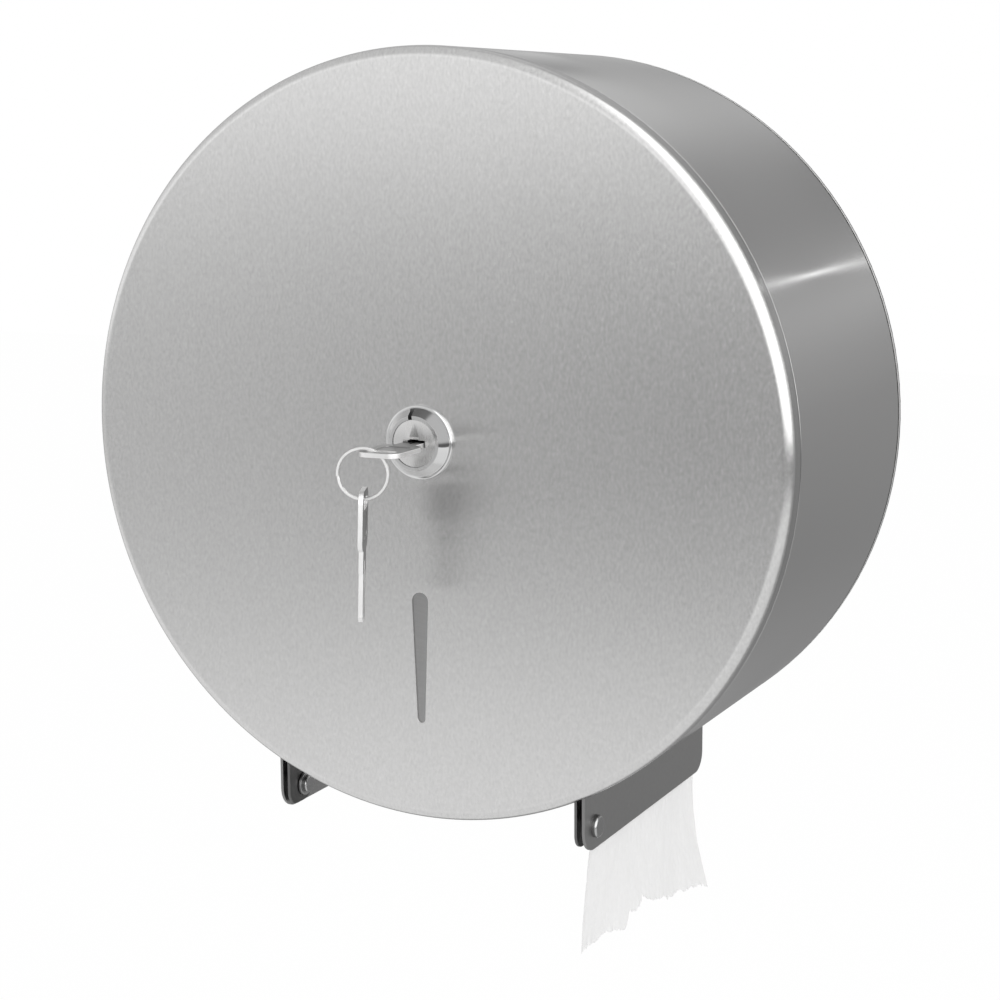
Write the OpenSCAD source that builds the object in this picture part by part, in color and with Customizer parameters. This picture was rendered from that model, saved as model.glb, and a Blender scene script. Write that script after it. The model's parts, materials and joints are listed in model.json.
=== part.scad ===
// Wall-mounted dispenser for one jumbo toilet roll: a steel drum that is open
// at the bottom, a lid hinged on two rivets, a cam lock with its two keys, a
// fixed spindle and the roll with its loose end hanging out.
// Millimetres. The origin is the centre of the wall face, +Z is up and the
// lid faces -Y.

/* [Drum] */
// Outer radius of the drum and of the lid
drum_r = 130; // [122:1:150]
// Depth of the closed dispenser, from the wall to the lid's face
drum_depth = 122.5; // [120:0.5:135]
// Thickness of the sheet steel
sheet = 1; // [0.8:0.1:1.4]
// Depth of the rim turned forward round the back plate
back_rim = 3.2; // [2.6:0.1:5]
// Rounding of the back plate's outer edge
back_edge_r = 1.2; // [0.6:0.1:1.8]
// Width of the seams between the band, the back plate and the lid
seam = 0.5; // [0.3:0.1:1]
// Length of the band's lip that goes into the lid
lip_len = 5; // [3:0.5:5.5]
// Gap between the band's lips and what they go into
lip_gap = 0.3; // [0.2:0.05:0.5]

/* [Paper gate] */
// Half the width of the opening at the bottom, to the plates' outer faces
gate_half = 59; // [50:1:62]
// Height of the gate plates' lower edge below the hinge pins
gate_drop = 7.8; // [6.5:0.1:12]
// Distance of the gate plates' front edge behind the lid's face
gate_front = 3.5; // [3.5:0.1:4.5]
// Distance of the gate plates' back edge from the wall
gate_back = 8.5; // [6:0.5:30]
// Corner radius at the front of a gate plate
gate_front_r = 8; // [3:0.5:9]
// Corner radius at the back of a gate plate
gate_back_r = 7; // [3:0.5:12]

/* [Lid] */
// Depth of the lid's skirt
skirt = 8.4; // [7.5:0.1:10]
// Outer radius of the lid's rolled edge
lid_edge_r = 3.4; // [2:0.1:3.4]
// Side clearance between the lid's skirt and the gate plates
skirt_gap = 1.5; // [1:0.1:3]
// Height of the level slot's top below the drum's centre
slot_top = 50.6; // [40:0.2:56]
// Length of the level slot
slot_len = 45.2; // [30:0.2:52]
// Radius of the level slot at its top
slot_top_r = 3; // [2.2:0.1:4]
// Radius of the level slot at its lower end
slot_low_r = 1.4; // [0.8:0.1:2]

/* [Hinge] */
// Height of the hinge pins below the band's ends
hinge_drop = 12.5; // [11.5:0.1:14.5]
// Distance of the hinge pins behind the lid's face
hinge_back = 13; // [12:0.2:14]
// Radius of a rivet's shank
rivet_r = 2; // [1.5:0.1:2.4]
// Radius of a rivet's head
rivet_head_r = 3.85; // [3.2:0.05:4.4]
// Height of a rivet's head
rivet_head_h = 1.8; // [1.2:0.1:2.4]
// Rounding of a rivet's head
rivet_edge_r = 1.1; // [0.5:0.1:1.1]
// Radius of the closed end of a rivet
rivet_tail_r = 3; // [2.6:0.1:3.4]
// Height of the closed end of a rivet
rivet_tail_h = 1.4; // [0.8:0.1:2]
// Radius of the washers and spacers
washer_r = 4.2; // [3.6:0.1:4.6]
// Thickness of the washers
washer_t = 0.9; // [0.5:0.1:1.2]
// Thickness of the spacers between the lid's ears and the gate plates
spacer_t = 1.5; // [1:0.1:2.5]
// Running gap beside the ears
ear_gap = 0.3; // [0.2:0.05:0.5]
// Clearance of the ears and washers on the shanks
pin_clear = 0.06; // [0.02:0.01:0.1]
// Radius of an ear's end round its rivet
ear_r = 6.2; // [6:0.1:6.4]
// Corner radius at the front of an ear
ear_front_r = 5; // [2:0.5:6]
// Width of the foot that is welded to the lid
ear_foot = 13; // [8:0.5:16]
// Height of the top of an ear above the hinge pins
ear_top = 31; // [25:0.5:32]
// Height of an ear's foot
ear_foot_h = 14; // [8:0.5:16]
// Width of an ear at its top
ear_neck = 9; // [8:0.5:12]

/* [Spindle] */
// Outer radius of the spindle tube
post_r = 19; // [16:0.5:22]
// Wall of the spindle tube
post_wall = 1.2; // [0.8:0.1:2]
// Gap between the spindle's front and the end of the lock's barrel
post_front = 1; // [0.9:0.1:1.5]
// Thickness of the keeper plate at the front of the spindle
keeper_t = 1.2; // [0.8:0.1:1.5]
// Length of the keeper's slot
keeper_slot_l = 22; // [21:0.5:25]
// Height of the keeper's slot
keeper_slot_h = 9; // [8.6:0.2:11]
// Radius of the spindle's base disc
base_r = 33; // [30:0.5:40]
// Thickness of the spindle's base disc
base_t = 1.5; // [1:0.1:3]
// Radius of the circle of base rivets
base_rivet_pcr = 26; // [25:0.5:28]
// Radius of a base rivet's head
base_rivet_r = 3.4; // [2.5:0.1:4]
// Height of a base rivet's head
base_rivet_h = 1.6; // [1:0.1:2.5]

/* [Wall screws] */
// Distance between the screw holes across the wall
screw_dx = 140; // [90:1:160]
// Distance between the screw holes up the wall
screw_dz = 100; // [80:1:120]
// Radius of the screw holes
screw_r = 3.25; // [2:0.05:4]
// Radius of the raised land round a screw hole
land_r = 10; // [7:0.5:12]
// Height of the raised land round a screw hole
land_h = 1.2; // [0.6:0.1:2]

/* [Lock] */
// Distance of the lock to the right of the drum's centre
lock_x = 0.8; // [-1:0.1:1]
// Height of the lock above the drum's centre
lock_z = 0.7; // [-1:0.1:1]
// Radius of the lock's head where it lies on the lid
head_r = 12.5; // [12:0.1:14]
// Height of the lock's head in front of the lid
head_h = 4.4; // [3.5:0.1:6]
// Height of the step at the foot of the head
head_step = 1.2; // [0.8:0.1:2]
// Rounding of that step
head_step_r = 0.6; // [0.3:0.1:0.8]
// Radius of the bevel at its foot
bevel_low_r = 11.5; // [10.6:0.1:11.8]
// Radius of the bevel at the front
bevel_top_r = 9.2; // [8.8:0.1:10.2]
// Radius of the threaded barrel
barrel_r = 9.5; // [9.2:0.1:10]
// Width of the barrel across its flats
barrel_flats = 17; // [16.4:0.1:18]
// Distance of the barrel's back end behind the lid's face
barrel_back = 15.3; // [12.6:0.1:15.6]
// Clearance of the barrel in the lid and the nut
barrel_clear = 0.05; // [0.05:0.01:0.3]
// Radius of the plug's bore
plug_bore_r = 8; // [7.6:0.1:8.4]
// Clearance of the plug in its bore
plug_clear = 0.05; // [0.02:0.01:0.1]
// Radius of the plug's journal at the back
journal_r = 5.2; // [4.6:0.1:6]
// Thickness of the barrel's back wall
barrel_wall = 1; // [0.6:0.1:2]
// Depth of the plug's face below the head
plug_sink = 0.2; // [0.1:0.1:0.6]
// Width of the lock nut across its flats
nut_flats = 24; // [22:0.5:27]
// Thickness of the lock nut
nut_t = 3.6; // [2.5:0.1:5]
// Radius of the nut's washer
nut_washer_r = 12.6; // [12:0.1:15]
// Thickness of the nut's washer
nut_washer_t = 0.8; // [0.5:0.1:1.5]
// Width of the notch above the keyway
ward_w = 3.4; // [2:0.1:4]
// Height of that notch
ward_h = 1.1; // [0.6:0.1:1.6]
// Side of the plug's square tail
tail_side = 6; // [5:0.1:6.4]
// Length of the cam
cam_len = 20; // [18:0.5:20.5]
// Width of the cam
cam_w = 7.4; // [7.2:0.1:7.8]
// Thickness of the cam
cam_t = 2; // [1.5:0.1:2.5]
// Gap between the cam and the keeper
cam_gap = 2.2; // [0.8:0.1:2.4]
// Radius of the cam screw's head
cam_screw_r = 3.6; // [3:0.1:3.6]
// Height of the cam screw's head
cam_screw_h = 2; // [1.5:0.1:3]

/* [Keys] */
// Length of a key
key_len = 44; // [43:0.2:45]
// Thickness of a key
key_t = 1.6; // [1.4:0.1:2]
// Width of the bow
bow_w = 15.2; // [15:0.2:17]
// Length of the bow
bow_len = 20; // [18:0.5:22]
// Corner radius at the bow's end
bow_r = 4; // [3:0.5:5]
// Width of the slot in the bow
bow_slot_w = 10.6; // [9.6:0.2:11]
// Length of the slot in the bow, along the key
bow_slot_l = 3.8; // [3.4:0.1:4.4]
// Distance of that slot from the bow's end
bow_web = 2.6; // [2:0.1:3.2]
// Width of the neck
neck_w = 7.6; // [7:0.1:8]
// Length of the neck
neck_len = 7.4; // [6.5:0.1:8]
// Width of the blade
blade_w = 5.6; // [5:0.1:6]
// Width of the groove milled along the blade
groove_w = 1.6; // [1:0.1:2.4]
// Depth of that groove
groove_d = 0.4; // [0.2:0.05:0.5]
// Width of the sunk panel on the bow
panel_w = 9.4; // [8:0.2:10]
// Length of that panel, along the key
panel_l = 8.4; // [6:0.2:9]
// Depth of that panel
panel_d = 0.25; // [0.1:0.05:0.4]
// Corner radius of that panel
panel_r = 1.6; // [0.8:0.1:2]
// Distance of the inserted key's end in front of the lid
key_out = 30.5; // [29.5:0.1:31]
// Clearance of the key in the plug
key_clear = 0.35; // [0.3:0.05:0.5]

/* [Key ring] */
// Inner radius of the split ring
ring_in_r = 7.9; // [7.4:0.1:9]
// Radial width of the ring's flattened wire
ring_wire = 0.85; // [0.6:0.05:1]
// Width of the wire along the ring's axis
ring_flat = 0.65; // [0.5:0.05:0.8]
// Gap between the ring's two turns
ring_turn_gap = 0.45; // [0.42:0.01:0.6]
// Turn of the ring's plane away from the lid's
ring_yaw = 18; // [12:1:24]
// Lean of the hanging key
spare_lean = 2; // [0:0.5:4]
// Turn of the hanging key away from the ring's axis
spare_yaw = 5; // [0:1:8]
// Least gap between the ring and the bows it hangs in
hang_gap = 0.3; // [0.25:0.05:0.4]

/* [Roll] */
// Outer radius of the roll
roll_r = 100; // [60:1:104]
// Width of the roll
roll_w = 98; // [90:1:99]
// Distance of the roll's back from the wall
roll_back = 4.8; // [4.6:0.1:8]
// Inner radius of the cardboard core
core_r = 30; // [28:0.5:38]
// Wall of the cardboard core
core_wall = 2; // [1:0.1:4]
// Rounding of the roll's edges
roll_edge_r = 1.5; // [0.5:0.1:4]
// Gap between the roll and what it hangs on or feeds
roll_gap = 0.3; // [0.2:0.05:0.4]
// Thickness of the loose end, which stands for two plies
tail_t = 0.5; // [0.3:0.1:0.6]

/* [Hidden] */
$fn = 96;
eps = 0.01;

lid_in = drum_depth - sheet;          // inner side of the lid's face
lid_back = drum_depth - skirt;        // back edge of the lid's skirt
drum_in_r = drum_r - sheet;
lip_out_r = drum_in_r - lip_gap;
lip_in_r = lip_out_r - sheet;
band_back = back_rim + seam;
band_front = lid_back - seam;
gate_in = gate_half - sheet;          // inner face of a gate plate
gate_top = sqrt(pow(drum_r - sheet / 2, 2) - pow(gate_half - sheet / 2, 2));
hinge_w = drum_depth - hinge_back;    // hinge pins' distance from the wall
hinge_low = gate_top + hinge_drop;    // and their distance below the drum's centre
ear_high = hinge_low - ear_top;
ear_out = gate_in - spacer_t - ear_gap;
ear_in = ear_out - sheet;
washer_in = ear_in - ear_gap - washer_t;
barrel_end = drum_depth - barrel_back;
keeper_back = barrel_end - post_front - keeper_t;
cam_front = keeper_back - cam_gap;
cam_back = cam_front - cam_t;
plug_r = plug_bore_r - plug_clear;
plug_front = drum_depth + head_h - plug_sink;
journal_front = barrel_end + barrel_wall;
key_end = drum_depth + key_out;
key_h = lock_z - key_clear;           // the inserted key lies low in its slot
ring_r = ring_in_r + ring_wire;
web_mid = (bow_w + bow_slot_w) / 4;   // middle of the bow's side strip
ring_x = lock_x - web_mid;
ring_out = key_end - bow_web - bow_slot_l / 6;
ring_low = sqrt(pow(ring_in_r, 2) - pow(bow_w / 4 - bow_slot_w / 4 + 0.3, 2));
ring_h = key_h + key_t / 2 + hang_gap - ring_low;
roll_drop = core_r - post_r - roll_gap;

// Everything is drawn as seen from the front: x to the right, y up and z
// straight out of the wall. This stands it up.
module upright() {
    rotate([90, 0, 0]) children();
}

// A flat outline drawn in z (out of the wall) and y (up), made a plate that
// starts at x and has the thickness t
module side_plate(x, t) {
    translate([x + t, 0, 0]) rotate([0, -90, 0]) linear_extrude(t) children();
}

// A turned piece whose axis lies along x and whose foot is at x
module cross_turned(x) {
    translate([x, 0, 0]) rotate([0, 90, 0]) rotate_extrude() children();
}

// The same piece on both sides of the drum
module both_sides() {
    children();
    mirror([1, 0, 0]) children();
}

// Half profile of a round body of radius r and height h, with a rounded edge
module rounded_half(r, h, edge) {
    square([r - edge, h]);
    square([r, h - edge]);
    intersection() {
        translate([r - edge, h - edge]) circle(edge, $fn = 48);
        square([r, h]);
    }
}

// A bar with round ends along x
module round_bar(len, w) {
    translate([-(len - w) / 2, -w / 2]) square([len - w, w]);
    for (side = [-1, 1]) translate([side * (len - w) / 2, 0]) circle(w / 2, $fn = 48);
}

module drum_band() color("silver") upright() {
    difference() {
        rotate_extrude($fn = 180) polygon([
            [lip_in_r, sheet], [lip_out_r, sheet],
            [lip_out_r, band_back], [drum_r, band_back],
            [drum_r, band_front], [lip_out_r, band_front],
            [lip_out_r, band_front + lip_len], [lip_in_r, band_front + lip_len],
            [lip_in_r, band_front - sheet], [drum_in_r, band_front - sheet],
            [drum_in_r, band_back + sheet], [lip_in_r, band_back + sheet]]);
        translate([-gate_in, -drum_r - eps, 0]) cube([2 * gate_in, drum_r, drum_depth]);
    }
    both_sides() difference() {
        side_plate(gate_in, sheet) gate_outline();
        translate([gate_in - eps, -hinge_low, hinge_w]) rotate([0, 90, 0])
            cylinder(r = rivet_r, h = sheet + 2 * eps, $fn = 48);
    }
}

// Outline of a gate plate, the band's end folded down beside the paper
module gate_outline() {
    front = drum_depth - gate_front;
    low = -hinge_low - gate_drop;
    translate([gate_back, low + gate_front_r])
        square([front - gate_back, -gate_top - low - gate_front_r]);
    translate([gate_back + gate_back_r, low])
        square([front - gate_front_r - gate_back - gate_back_r, gate_front_r]);
    translate([front - gate_front_r, low + gate_front_r]) circle(gate_front_r);
    translate([gate_back, low + gate_back_r])
        square([gate_back_r, gate_front_r]);
    translate([gate_back + gate_back_r, low + gate_back_r]) circle(gate_back_r);
}

module back_plate() color("silver") upright() {
    difference() {
        union() {
            rotate_extrude($fn = 180) difference() {
                translate([0, back_rim]) mirror([0, 1])
                    rounded_half(drum_r, back_rim, back_edge_r);
                translate([0, sheet]) square([drum_in_r, back_rim]);
            }
            at_screws() cylinder(r1 = land_r, r2 = land_r - land_h, h = sheet + land_h);
        }
        at_screws() translate([0, 0, -eps])
            cylinder(r1 = land_r - sheet, r2 = land_r - land_h - sheet, h = land_h + eps);
        at_screws() translate([0, 0, -1])
            cylinder(r = screw_r, h = sheet + land_h + 2, $fn = 48);
        at_base_rivets() translate([0, 0, -1]) cylinder(r = rivet_r, h = sheet + 2, $fn = 48);
    }
}

module at_screws() {
    for (sx = [-1, 1], sy = [-1, 1])
        translate([sx * screw_dx / 2, sy * screw_dz / 2, 0]) children();
}

module at_base_rivets() {
    for (i = [0:3]) rotate([0, 0, 45 + 90 * i]) translate([base_rivet_pcr, 0, 0]) children();
}

module spindle_base() color("silver") upright() {
    difference() {
        translate([0, 0, sheet]) rotate_extrude() rounded_half(base_r, base_t, base_t / 2);
        at_base_rivets() cylinder(r = rivet_r, h = 10, $fn = 48);
    }
}

module spindle_rivets() color("gainsboro") upright() {
    at_base_rivets() {
        translate([0, 0, sheet / 2]) cylinder(r = rivet_r, h = sheet / 2 + base_t, $fn = 48);
        translate([0, 0, sheet + base_t]) intersection() {
            cylinder(r = base_rivet_r, h = base_rivet_h, $fn = 48);
            translate([0, 0, base_rivet_h - 2 * base_rivet_r])
                sphere(2 * base_rivet_r, $fn = 64);
        }
    }
}

module spindle_post() color("silver") upright() {
    translate([0, 0, sheet + base_t]) difference() {
        cylinder(r = post_r, h = keeper_back - sheet - base_t);
        translate([0, 0, -1]) cylinder(r = post_r - post_wall, h = drum_depth);
    }
}

module spindle_keeper() color("silver") upright() {
    translate([0, 0, keeper_back]) difference() {
        rotate_extrude() rounded_half(post_r, keeper_t, keeper_t / 2);
        translate([lock_x, lock_z, -1]) linear_extrude(keeper_t + 2)
            square([keeper_slot_l, keeper_slot_h], center = true);
    }
}

module hinge_rivets() color("gainsboro") upright() {
    both_sides() translate([0, -hinge_low, hinge_w]) {
        cross_turned(washer_in) square([rivet_r, gate_half - washer_in]);
        cross_turned(gate_half) rounded_half(rivet_head_r, rivet_head_h, rivet_edge_r);
        mirror([1, 0, 0]) cross_turned(-washer_in)
            rounded_half(rivet_tail_r, rivet_tail_h, rivet_tail_h / 2);
    }
}

module hinge_spacers() color("gray") upright() {
    both_sides() translate([0, -hinge_low, hinge_w])
        cross_turned(gate_in - spacer_t)
            translate([rivet_r + pin_clear, 0])
                square([washer_r - rivet_r - pin_clear, spacer_t]);
}

module hinge_washers() color("gainsboro") upright() {
    both_sides() translate([0, -hinge_low, hinge_w])
        cross_turned(washer_in)
            translate([rivet_r + pin_clear, 0])
                square([washer_r - rivet_r - pin_clear, washer_t]);
}

module front_lid() color("lightgray") upright() {
    difference() {
        translate([0, 0, lid_back]) rotate_extrude($fn = 180) difference() {
            rounded_half(drum_r, skirt, lid_edge_r);
            rounded_half(drum_in_r, skirt - sheet, lid_edge_r - sheet);
        }
        // the skirt stops on both sides of the gate
        translate([-gate_half - skirt_gap, -drum_r - 1, lid_back - 1])
            cube([2 * (gate_half + skirt_gap), drum_r, skirt - lid_edge_r + 1]);
        translate([0, 0, lid_in - 1]) linear_extrude(sheet + 2) level_slot();
        translate([lock_x, lock_z, lid_in - 1])
            linear_extrude(sheet + 2) flatted_round(barrel_clear);
    }
}

// The slot that shows how much paper is left: two circles and their tangents
module level_slot() {
    high = -slot_top - slot_top_r;
    low = -slot_top - slot_len + slot_low_r;
    lean = asin((slot_top_r - slot_low_r) / (high - low));
    translate([0, high]) circle(slot_top_r, $fn = 48);
    translate([0, low]) circle(slot_low_r, $fn = 48);
    polygon([
        [slot_top_r * cos(lean), high - slot_top_r * sin(lean)],
        [slot_low_r * cos(lean), low - slot_low_r * sin(lean)],
        [-slot_low_r * cos(lean), low - slot_low_r * sin(lean)],
        [-slot_top_r * cos(lean), high - slot_top_r * sin(lean)]]);
}

// Section of the lock's barrel: round, with two flats that stop it turning
module flatted_round(extra) {
    intersection() {
        circle(barrel_r + extra);
        square([2 * drum_r, barrel_flats + 2 * extra], center = true);
    }
}

// An ear: the leg that turns on the rivet, and the foot welded to the lid
module hinge_ear() {
    front = drum_depth - gate_front;
    foot_low = -ear_high - ear_foot_h;
    difference() {
        side_plate(ear_in, sheet) {
            translate([hinge_w, -hinge_low]) circle(ear_r);
            translate([hinge_w, -hinge_low - ear_r]) square([front - ear_front_r - hinge_w, ear_r]);
            translate([hinge_w - ear_r, -hinge_low])
                square([front - hinge_w + ear_r, hinge_low + foot_low]);
            translate([hinge_w, -hinge_low - ear_r + ear_front_r])
                square([front - hinge_w, ear_r]);
            translate([front - ear_front_r, -hinge_low - ear_r + ear_front_r])
                circle(ear_front_r, $fn = 48);
            polygon([[hinge_w - ear_r, foot_low], [lid_in, foot_low],
                [lid_in, -ear_high], [lid_in - ear_neck, -ear_high]]);
        }
        translate([ear_in - 1, -hinge_low, hinge_w]) rotate([0, 90, 0])
            cylinder(r = rivet_r + pin_clear, h = sheet + 2, $fn = 48);
    }
    translate([ear_out - ear_foot, foot_low, lid_in - sheet])
        cube([ear_foot, ear_foot_h, sheet]);
}

module hinge_ear_right() color("gray") upright() hinge_ear();

module hinge_ear_left() color("gray") upright() mirror([1, 0, 0]) hinge_ear();

module at_lock() {
    translate([lock_x, lock_z, 0]) children();
}

module lock_barrel() color("whitesmoke") upright() at_lock() {
    difference() {
        union() {
            translate([0, 0, barrel_end]) linear_extrude(barrel_back) flatted_round(0);
            translate([0, 0, drum_depth]) {
                rotate_extrude() rounded_half(head_r, head_step, head_step_r);
                translate([0, 0, head_step])
                    cylinder(r1 = bevel_low_r, r2 = bevel_top_r, h = head_h - head_step);
            }
        }
        translate([0, 0, journal_front]) cylinder(r = plug_bore_r, h = drum_depth);
        translate([0, 0, barrel_end - 1]) cylinder(r = journal_r, h = drum_depth);
        // index mark cut into the bevel above the plug
        rotate([0, 0, index_turn]) translate([-index_w / 2, bevel_top_r - index_l / 2,
                drum_depth + (head_h + head_step) / 2 - index_d])
            cube([index_w, index_l, head_h]);
    }
}
// Width, length, depth and turn of the index mark
index_w = 1.4;
index_l = 4.4;
index_d = 0.7;
index_turn = 9;

module lock_washer() color("gainsboro") upright() at_lock() {
    translate([0, 0, lid_in - nut_washer_t]) linear_extrude(nut_washer_t) difference() {
        circle(nut_washer_r);
        flatted_round(barrel_clear);
    }
}

module lock_nut() color("gainsboro") upright() at_lock() {
    translate([0, 0, lid_in - nut_washer_t - nut_t]) difference() {
        cylinder(r = nut_flats / 2 / cos(30), h = nut_t, $fn = 6);
        translate([0, 0, -1]) cylinder(r = barrel_r + barrel_clear, h = nut_t + 2);
    }
}

module lock_plug() color("whitesmoke") upright() at_lock() {
    mouth_w = neck_w + 2 * key_clear;
    slot_w = blade_w + 2 * key_clear;
    slot_h = key_t + 2 * key_clear;
    tip = key_end - key_len - key_clear;
    mouth = key_end - bow_len - neck_len - key_clear;
    difference() {
        union() {
            translate([0, 0, journal_front + plug_clear])
                cylinder(r = plug_r, h = plug_front - journal_front - plug_clear);
            translate([0, 0, barrel_end])
                cylinder(r = journal_r - plug_clear, h = barrel_wall + 1);
            translate([-tail_side / 2, -tail_side / 2, cam_back])
                cube([tail_side, tail_side, barrel_end - cam_back + 1]);
        }
        translate([-slot_w / 2, -slot_h / 2, tip]) cube([slot_w, slot_h, drum_depth]);
        translate([-mouth_w / 2, -slot_h / 2, mouth]) cube([mouth_w, slot_h, drum_depth]);
        translate([-ward_w / 2, 0, mouth]) cube([ward_w, slot_h / 2 + ward_h, drum_depth]);
    }
}

module lock_cam() color("gainsboro") upright() at_lock() {
    translate([0, 0, cam_back]) linear_extrude(cam_t) difference() {
        round_bar(cam_len, cam_w);
        square(tail_side, center = true);
    }
}

module cam_screw() color("gainsboro") upright() at_lock() {
    translate([0, 0, cam_back - cam_screw_h]) difference() {
        cylinder(r = cam_screw_r, h = cam_screw_h, $fn = 48);
        for (turn = [0, 90]) rotate([0, 0, turn])
            translate([-cross_l / 2, -cross_w / 2, -1]) cube([cross_l, cross_w, 1 + cross_d]);
    }
}
// Length, width and depth of the cross in the screw's head
cross_l = 4.4;
cross_w = 1;
cross_d = 1.1;

// A key's bow and neck, seen flat: x across it, y along it from the bow's end
module bow_outline() {
    bow_in = bow_w / 2 - bow_r;
    difference() {
        union() {
            translate([-bow_in, 0]) square([2 * bow_in, bow_len]);
            translate([-bow_w / 2, bow_r]) square([bow_w, bow_len - 2 * bow_r]);
            for (side = [-1, 1], end = [bow_r, bow_len - bow_r])
                translate([side * bow_in, end]) circle(bow_r, $fn = 48);
            translate([-neck_w / 2, bow_len - 1]) square([neck_w, neck_len + 1]);
        }
        translate([0, bow_web + bow_slot_l / 2]) round_bar(bow_slot_w, bow_slot_l);
    }
}

// The blade, with its cuts on one edge
module blade_outline() {
    low = bow_len + neck_len / 2;
    difference() {
        polygon([[-blade_w / 2, low], [-blade_w / 2, key_len - blade_w / 3],
            [-blade_w / 5, key_len], [blade_w / 5, key_len],
            [blade_w / 2, key_len - blade_w / 3], [blade_w / 2, low]]);
        for (cut = key_cuts) translate([blade_w / 2, bow_len + neck_len + cut[0]])
            rotate(45) square(cut[1] * sqrt(2), center = true);
    }
}
// Places of the cuts along the blade, and their depths
key_cuts = [[3.2, 1.1], [5.8, 0.7], [8.4, 1.3], [11, 0.9]];

// The plain sunk panel on each side of the bow
module bow_panel() {
    start = bow_web + bow_slot_l + bow_web / 2;
    translate([-panel_w / 2 + panel_r, start]) square([panel_w - 2 * panel_r, panel_l]);
    translate([-panel_w / 2, start + panel_r]) square([panel_w, panel_l - 2 * panel_r]);
    for (side = [-1, 1], end = [panel_r, panel_l - panel_r])
        translate([side * (panel_w / 2 - panel_r), start + end]) circle(panel_r, $fn = 32);
}

module key_solid() {
    difference() {
        union() {
            translate([0, 0, -key_t / 2]) linear_extrude(key_t) bow_outline();
            translate([0, 0, -key_t / 2]) linear_extrude(key_t) blade_outline();
        }
        for (side = [-1, 1])
            translate([-groove_w / 2, bow_len + neck_len / 2, side * key_t / 2 - groove_d])
                cube([groove_w, key_len, 2 * groove_d]);
        for (side = [-1, 1]) translate([0, 0, side * key_t / 2 - panel_d])
            linear_extrude(2 * panel_d) bow_panel();
    }
}

module lock_key() color("gainsboro") upright() {
    translate([lock_x, key_h, key_end]) rotate([-90, 0, 0]) key_solid();
}

// The ring's own frame: its centre, with z along its axis
module at_ring() {
    translate([ring_x, ring_h, ring_out]) rotate([0, ring_yaw, 0]) children();
}

// The ring is one wire of two turns, which climbs from one turn to the other
// within the ramp's angle. Its section is drawn by four corners.
ring_ramp = 24;
ring_start = 200;
ring_steps = 136;
ring_rise = (ring_flat + ring_turn_gap) / 2;

function ring_angle(i) = (2 * i / ring_steps - 1) * (360 - ring_ramp / 2 - 2);
function ring_high(a) = ring_rise * max(-1, min(1, 2 * a / ring_ramp));
function ring_point(i, corner) =
    let (a = ring_angle(i), r = ring_in_r + (corner % 3 == 0 ? 0 : ring_wire),
        high = ring_high(a) + (corner < 2 ? -1 : 1) * ring_flat / 2)
    [r * cos(a + ring_start), r * sin(a + ring_start), high];

module key_ring() color("gainsboro") upright() at_ring() {
    polyhedron(
        points = [for (i = [0:ring_steps], corner = [0:3]) ring_point(i, corner)],
        faces = concat([[0, 1, 2], [0, 2, 3]],
            [[3, 2, 1] + ring_end, [3, 1, 0] + ring_end],
            [for (i = [0:ring_steps - 1], corner = [0:3], half = [0, 1])
                let (a = 4 * i + corner, b = 4 * i + (corner + 1) % 4)
                half == 0 ? [a, a + 4, b] : [b, a + 4, b + 4]]));
}
ring_end = 4 * ring_steps * [1, 1, 1];
// Least gap between the turns, measured on the wire's corners
echo(ring_gap = min([for (i = [0:ring_steps], k = [i + 20:ring_steps])
    norm(ring_point(i, 2) - ring_point(k, 1))]));

module spare_key() color("gainsboro") upright() at_ring() {
    translate([0, -ring_in_r, 0]) rotate([0, spare_yaw - 90, -spare_lean])
        translate([0, hang_gap + bow_web, 0]) rotate([0, 0, 180]) key_solid();
}

module at_roll() {
    translate([0, -roll_drop, roll_back]) children();
}

module roll_core() color("burlywood") upright() at_roll() {
    difference() {
        cylinder(r = core_r + core_wall, h = roll_w);
        translate([0, 0, -1]) cylinder(r = core_r, h = roll_w + 2);
    }
}

module paper_roll() color("white") upright() at_roll() {
    rotate_extrude($fn = 180) {
        translate([core_r + core_wall, 0])
            square([roll_r - roll_edge_r - core_r - core_wall, roll_w]);
        translate([core_r + core_wall, roll_edge_r])
            square([roll_r - core_r - core_wall, roll_w - 2 * roll_edge_r]);
        for (end = [roll_edge_r, roll_w - roll_edge_r])
            translate([roll_r - roll_edge_r, end]) circle(roll_edge_r, $fn = 32);
    }
}

// The loose end. It leaves the roll on a tangent, bends at the gate plate,
// hangs down with a little twist and is torn off. The bend lies tail_gap beside
// the plate's inner face and tail_rise above the band's ends.
tail_r = roll_r + roll_gap + tail_t / 2;
tail_gap = 0.8;
tail_rise = 1;
tail_bend = [gate_in - tail_gap, tail_rise - gate_top];
tail_turn = acos(tail_r / norm(tail_bend + [0, roll_drop]))
    + atan2(tail_bend[1] + roll_drop, tail_bend[0]);
tail_start = [tail_r * cos(tail_turn), tail_r * sin(tail_turn) - roll_drop];
// How fast the front and the back edge leave the gate plate, and come back
tail_lean = [0.165, 0.233];
tail_curl = [0.00093, 0.00394];
// Depth and count of the waves across the hanging part
wave_d = 0.5;
wave_n = 1.5;
// Place of each point of the torn edge across the tail, from the front
tail_across = [0, 0.07, 0.13, 0.19, 0.28, 0.33, 0.37, 0.41, 0.44, 0.475, 0.53, 0.58,
    0.65, 0.717, 0.78, 0.86, 0.93, 1];
// Length of the tail below its bend at each of those points
tail_hang = [63, 62.5, 63.2, 62.2, 63.8, 65.2, 59.7, 61.2, 60.1, 57.3, 60.4, 62.1,
    63.4, 65.7, 65.2, 66.6, 67.4, 69.5];
tail_rows = 12;
tail_cols = len(tail_across) - 1;

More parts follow.
